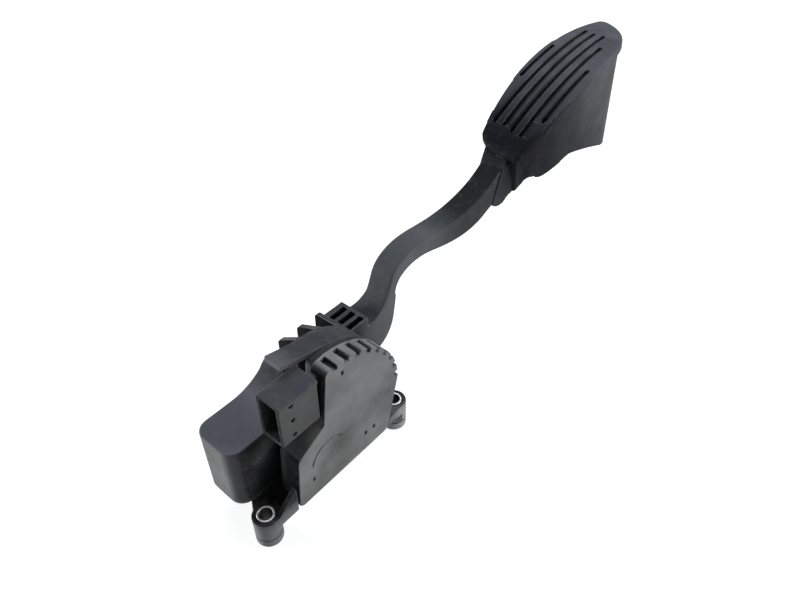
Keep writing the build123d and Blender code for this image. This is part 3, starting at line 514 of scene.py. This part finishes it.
# Grey film thickening towards the toe: partly dust, partly painted light.
pad_dust_and_light = (
    grey_dust_and_painted_light, pad_way,
    ((0.22, 0.2), (0.25, 0.0), (0.275, 0.03), (0.305, 0.16), (0.34, 0.44), (0.39, 0.5)), None,
)
tread_dust_and_sky_sheen = (
    dust_and_sky_sheen_tone, pad_way, ((0.26, 0.0), (0.285, 0.2), (0.32, 0.34), (0.36, 0.2), (0.39, 0.0)), upwards,
)
pad_nylon = moulded_plastic(
    "pad_nylon", (0.014, 0.014, 0.017), index=1.04, grain=1900.0, relief=0.3, mottle=0.12, deep=0.004,
    films=(pad_dust_and_light, tread_dust_and_sky_sheen),
)
softened("pedal_pad", "pedal", pad_nylon, width=0.0011, spare=1.3)


# Sleeves in the three legs: rolled steel tubes, zinc plated, pressed through the plastic so
# that a bolt's load goes past it. Their upward faces keep the bright plating, and all their
# other faces, the bores among them, are painted dark and less metallic as shade.
skin_depth = 0.0002
skin_scale = 1800.0
# Painted shade for the sleeves' bores and other faces that don't look up.
bore_painted_shade = (0.045, 0.042, 0.04)


def small_part(name, colour, metal, rough, mottle, relief):
    """A plain part's finish: mottled tone and sheen, and a slightly uneven skin."""
    finish, tree, skin = new_finish(name)
    skin.inputs["Metallic"].default_value = metal
    patches = span(tree, cloud(tree, mottle, 5.0), 0.32, 0.68, 0.0, 1.0)
    tone = tinted(tree, patches, [c * 0.78 for c in colour], [min(c * 1.12, 1.0) for c in colour])
    tree.links.new(tone, skin.inputs["Base Color"])
    sheen = span(tree, cloud(tree, mottle * 2.3, 4.0), 0.3, 0.7, rough - 0.08, rough + 0.1)
    tree.links.new(sheen, skin.inputs["Roughness"])
    bump = tree.nodes.new("ShaderNodeBump")
    bump.inputs["Strength"].default_value = relief
    bump.inputs["Distance"].default_value = skin_depth
    tree.links.new(cloud(tree, skin_scale, 3.0), bump.inputs["Height"])
    tree.links.new(bump.outputs["Normal"], skin.inputs["Normal"])
    return finish


def dress(node, finish):
    """A solid that is shown as it is takes this finish."""
    nodes[node].data.materials.clear()
    nodes[node].data.materials.append(finish)


plated_steel = small_part(
    "plated_steel", (0.72, 0.71, 0.68), metal=1.0, rough=0.34, mottle=260.0, relief=0.1,
)
plating = plated_steel.node_tree
plated = plating.nodes["Principled BSDF"]
facing_up = plating.nodes.new("ShaderNodeNewGeometry")
upright = plating.nodes.new("ShaderNodeSeparateXYZ")
plating.links.new(facing_up.outputs["Normal"], upright.inputs[0])
# Faces that don't look up take the painted bore shade and less metal.
end_face = span(plating, upright.outputs["Z"], 0.35, 0.75, 0.0, 1.0)
bright = plated.inputs["Base Color"].links[0].from_socket
plating.links.new(tinted(plating, end_face, bore_painted_shade, bright), plated.inputs["Base Color"])
plating.links.new(span(plating, end_face, 0.0, 1.0, 0.25, 1.0), plated.inputs["Metallic"])
for side in ("left", "right", "far"):
    softened("mount_bush_" + side, "base", plated_steel, width=0.0002, spare=1.3)

# Gasket of the cover: one ring of black rubber that keeps water from the sensor. It lies in the
# groove of the housing's wall, and the cover presses on it.
seal_rubber = small_part(
    "seal_rubber", (0.03, 0.03, 0.032), metal=0.0, rough=0.72, mottle=300.0, relief=0.2,
)
dress("cover_seal", seal_rubber)

# Circuit board behind the cover: green glass-fibre laminate on two posts, with a weave that
# shows faintly through the lacquer.
green_laminate = small_part(
    "green_laminate", (0.03, 0.16, 0.07), metal=0.0, rough=0.36, mottle=900.0, relief=0.1,
)
dress("circuit_board", green_laminate)

# Hall sensors: two black resin packages that read the magnet's field, one for each signal. They
# are soldered to the board.
chip_resin = small_part(
    "chip_resin", (0.025, 0.025, 0.027), metal=0.0, rough=0.5, mottle=700.0, relief=0.15,
)
for number in (1, 2):
    dress(f"sensor_chip_{number}", chip_resin)

# Terminals of the connector: six tinned brass blades, three for each sensor. They are moulded
# into the socket's back wall.
tinned_brass = small_part(
    "tinned_brass", (0.7, 0.62, 0.42), metal=1.0, rough=0.3, mottle=420.0, relief=0.08,
)
for number in range(1, 7):
    dress(f"terminal_{number}", tinned_brass)

# Axle: a ground steel pin that carries the pedal. It is fast in the arm's hub and turns in the
# housing's two walls.
ground_steel = small_part(
    "ground_steel", (0.56, 0.56, 0.57), metal=1.0, rough=0.24, mottle=500.0, relief=0.06,
)
dress("axle", ground_steel)

# Bearing bushes: two plain rings of sintered bronze, dark with oil, that the axle turns in. They
# are pressed into the housing's two walls.
oiled_bronze = small_part(
    "oiled_bronze", (0.46, 0.3, 0.14), metal=1.0, rough=0.42, mottle=900.0, relief=0.2,
)
for side in ("near", "far"):
    dress("bearing_bush_" + side, oiled_bronze)

# Clip on the axle's far end: a spring-steel ring, blued, that keeps the axle in place. It is
# snapped into the pin's groove.
blued_steel = small_part(
    "blued_steel", (0.2, 0.21, 0.24), metal=1.0, rough=0.36, mottle=340.0, relief=0.08,
)
dress("axle_clip", blued_steel)

# Magnet of the sensor: a grey-black ferrite ring that turns with the pedal before the sensors.
# It is bonded to the axle's near end.
ferrite = small_part(
    "ferrite", (0.07, 0.068, 0.07), metal=0.0, rough=0.6, mottle=800.0, relief=0.2,
)
dress("sensor_magnet", ferrite)

# Spring plunger: a pale acetal cup between the arm's lever and the springs. It slides in the
# tower's bore and is held only by them.
acetal = small_part(
    "acetal", (0.62, 0.61, 0.57), metal=0.0, rough=0.42, mottle=160.0, relief=0.05,
)
dress("spring_plunger", acetal)

# Return springs: two nested coils of oil-tempered wire between the tower's ceiling and the
# plunger, which on the real pedal presses them to about half their length as the pedal goes
# down. Here they ride with the base and are not shortened.
spring_wire = small_part(
    "spring_wire", (0.34, 0.33, 0.33), metal=1.0, rough=0.32, mottle=700.0, relief=0.08,
)
for place in ("outer", "inner"):
    shape = opened(nodes[place + "_spring"].data)
    bmesh.ops.remove_doubles(shape, verts=shape.verts, dist=weld)
    for face in shape.faces:
        face.smooth = True
    data = bpy.data.meshes.new(place + "_coil")
    closed(shape, data)
    data.materials.append(spring_wire)
    coil = bpy.data.objects.new(place + "_coil", data)
    bpy.context.scene.collection.objects.link(coil)
    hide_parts(place + "_spring")
    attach(coil, "base")
    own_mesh(coil)

# Stops: two blocks of black rubber, one for each end of the pedal's travel. They sit in pockets
# of the housing.
stop_rubber = small_part(
    "stop_rubber", (0.028, 0.028, 0.03), metal=0.0, rough=0.76, mottle=240.0, relief=0.25,
)
for travel in ("idle", "full"):
    dress(travel + "_stop", stop_rubber)
